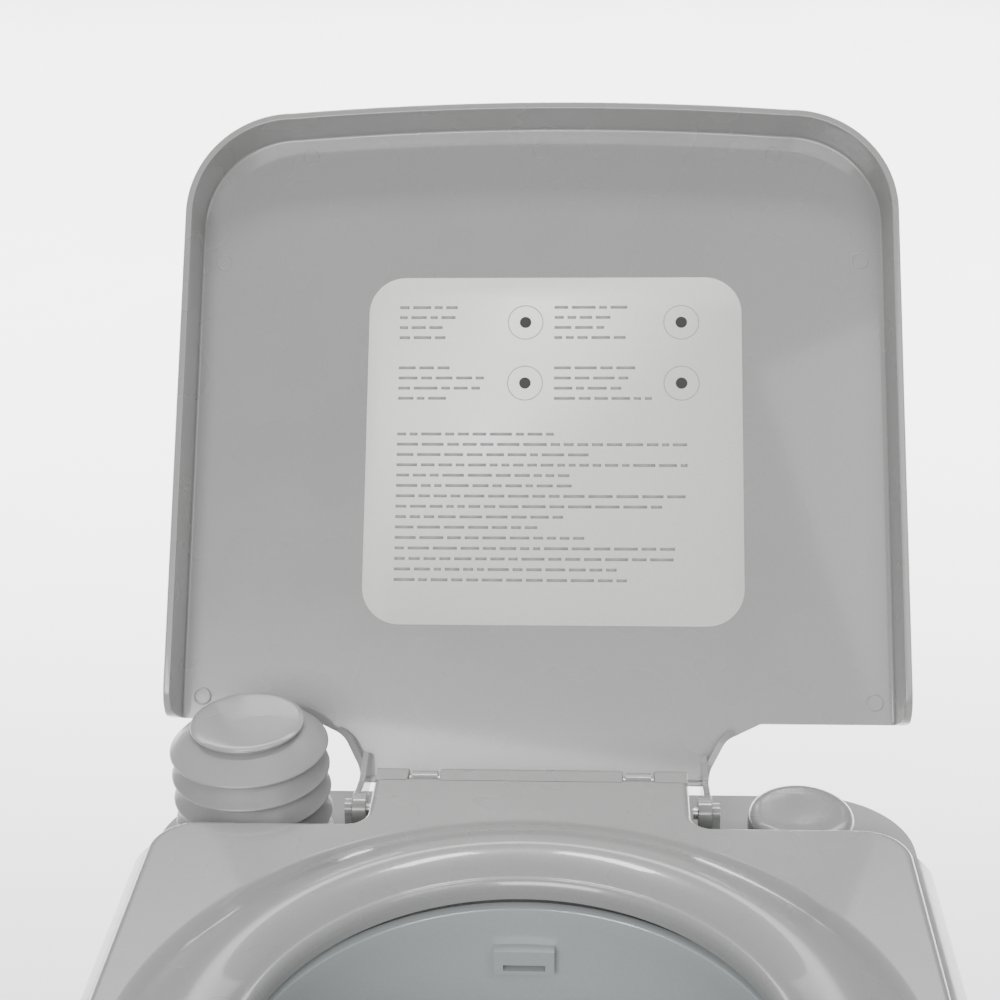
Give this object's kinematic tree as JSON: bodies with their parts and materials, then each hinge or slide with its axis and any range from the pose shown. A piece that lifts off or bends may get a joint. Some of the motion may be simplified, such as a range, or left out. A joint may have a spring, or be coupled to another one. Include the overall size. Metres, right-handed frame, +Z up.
{
  "type": "cassette toilet",
  "caption": "Portable camping toilet in two stacked tanks: a bellows-flushed bowl with hinged seat and lid above a removable waste tank with a sliding blade valve and pour-out spout.",
  "frame": {"origin": "middle of the waste tank's flat underside", "axes": "+X to the user's right as they face the toilet, +Y towards the hinge at the rear, +Z up"},
  "size_m": [0.3658, 0.6201, 0.6633],
  "materials": {
    "body_plastic": "glossy moulded polyethylene",
    "bowl_plastic": "glossy moulded bowl",
    "valve_plastic": "moulded plastic",
    "bellows_rubber": "soft grey bellows",
    "seal_rubber": "black seal",
    "label_vinyl": "matt white sticker",
    "clear_window": "clear plastic window",
    "steel": "stainless steel",
    "clear_hose": "soft tube"
  },
  "bodies": {
    "waste_holding_tank": {"waste_tank": "body_plastic", "valve_frame": "valve_plastic", "valve_frame_screws": "steel", "blade_seal": "seal_rubber", "spout_collar": "valve_plastic", "spout_seal": "seal_rubber", "vent_seal": "seal_rubber", "level_window": "clear_window"},
    "blade_valve": {"valve_blade": "valve_plastic", "valve_handle": "valve_plastic"},
    "spout": {"pour_spout": "valve_plastic"},
    "spout_cap_carrier": {"spout_cap_seal": "seal_rubber"},
    "spout_cap_shell": {"spout_cap": "valve_plastic"},
    "vent": {"vent_button": "valve_plastic", "vent_spring": "steel"},
    "flush_tank": {"fresh_water_tank": "body_plastic", "toilet_bowl": "bowl_plastic", "flush_nozzle": "bowl_plastic", "bowl_outlet_seal": "seal_rubber", "hinge_bracket": "body_plastic", "hinge_bracket_screws": "steel", "seat_hinge_pin": "steel", "lid_hinge_pins": "steel", "filler_neck": "body_plastic", "pump_collar": "body_plastic", "pump_cylinder": "valve_plastic", "foot_valve": "valve_plastic", "flush_hose": "clear_hose", "latch_pins": "steel"},
    "check_ball": {"foot_valve_ball": "valve_plastic"},
    "pump_head": {"pump_button": "body_plastic", "pump_plunger": "valve_plastic", "pump_bellows": "bellows_rubber", "pump_return_spring": "steel"},
    "filler_cap_carrier": {"filler_cap_seal": "seal_rubber"},
    "filler_cap_shell": {"filler_cap": "body_plastic"},
    "toilet_seat": {"seat": "body_plastic", "seat_bumpers": "seal_rubber"},
    "toilet_lid": {"lid": "body_plastic", "instruction_label": "label_vinyl"},
    "left_latch": {"latch_left": "body_plastic"},
    "right_latch": {"latch_right": "body_plastic"}
  },
  "joints": [
    {"name": "tank_lift", "type": "slide", "parent": "waste_holding_tank", "child": "flush_tank", "axis": [0, 0, 1], "range_m": [0, 0.07]},
    {"name": "valve_slide", "type": "slide", "parent": "waste_holding_tank", "child": "blade_valve", "axis": [0, -1, 0], "range_m": [0, 0.1]},
    {"name": "spout_swivel", "type": "hinge", "parent": "waste_holding_tank", "child": "spout", "pos_m": [0.15, 0.178, 0.165], "axis": [0, 0, -1], "range_deg": [0, 90]},
    {"name": "spout_cap_lift", "type": "slide", "parent": "spout", "child": "spout_cap_carrier", "axis": [-1, 0, 0], "range_m": [0, 0.025]},
    {"name": "spout_cap_spin", "type": "hinge", "parent": "spout_cap_carrier", "child": "spout_cap_shell", "pos_m": [0.06, 0.178, 0.165], "axis": [-1, 0, 0], "range_deg": [0, 450]},
    {"name": "vent_press", "type": "slide", "parent": "waste_holding_tank", "child": "vent", "axis": [0, 0, 1], "range_m": [-0.002, 0], "stiffness_N_per_m": 400, "springref_m": 0.003, "deforming": ["vent_spring"]},
    {"name": "check_ball_lift", "type": "slide", "parent": "flush_tank", "child": "check_ball", "axis": [0, 0, 1], "range_m": [0, 0.003]},
    {"name": "pump_press", "type": "slide", "parent": "flush_tank", "child": "pump_head", "axis": [0, 0, 1], "range_m": [-0.03, 0], "stiffness_N_per_m": 250, "springref_m": 0.02, "deforming": ["pump_bellows", "pump_return_spring"]},
    {"name": "filler_cap_lift", "type": "slide", "parent": "flush_tank", "child": "filler_cap_carrier", "axis": [0, 0, 1], "range_m": [0, 0.03]},
    {"name": "filler_cap_spin", "type": "hinge", "parent": "filler_cap_carrier", "child": "filler_cap_shell", "pos_m": [0.127, 0.158, 0.36], "axis": [0, 0, 1], "range_deg": [0, 540]},
    {"name": "seat_hinge", "type": "hinge", "parent": "flush_tank", "child": "toilet_seat", "pos_m": [0, 0.1555, 0.391], "axis": [-1, 0, 0], "range_deg": [0, 98]},
    {"name": "lid_hinge", "type": "hinge", "parent": "flush_tank", "child": "toilet_lid", "pos_m": [0, 0.1555, 0.374], "axis": [-1, 0, 0], "range_deg": [-124.8, 0]},
    {"name": "left_latch_swing", "type": "hinge", "parent": "flush_tank", "child": "left_latch", "pos_m": [-0.1795, 0, 0.228], "axis": [0, 1, 0], "range_deg": [0, 120]},
    {"name": "right_latch_swing", "type": "hinge", "parent": "flush_tank", "child": "right_latch", "pos_m": [0.1795, 0, 0.228], "axis": [0, -1, 0], "range_deg": [0, 120]}
  ],
  "couplings": [
    {"joint": "left_latch_swing", "follows": "tank_lift", "rad_per_m": 29.919},
    {"joint": "right_latch_swing", "follows": "tank_lift", "rad_per_m": 29.919},
    {"joint": "filler_cap_spin", "follows": "filler_cap_lift", "rad_per_m": 314.14},
    {"joint": "spout_cap_spin", "follows": "spout_cap_lift", "rad_per_m": 314.14}
  ]
}
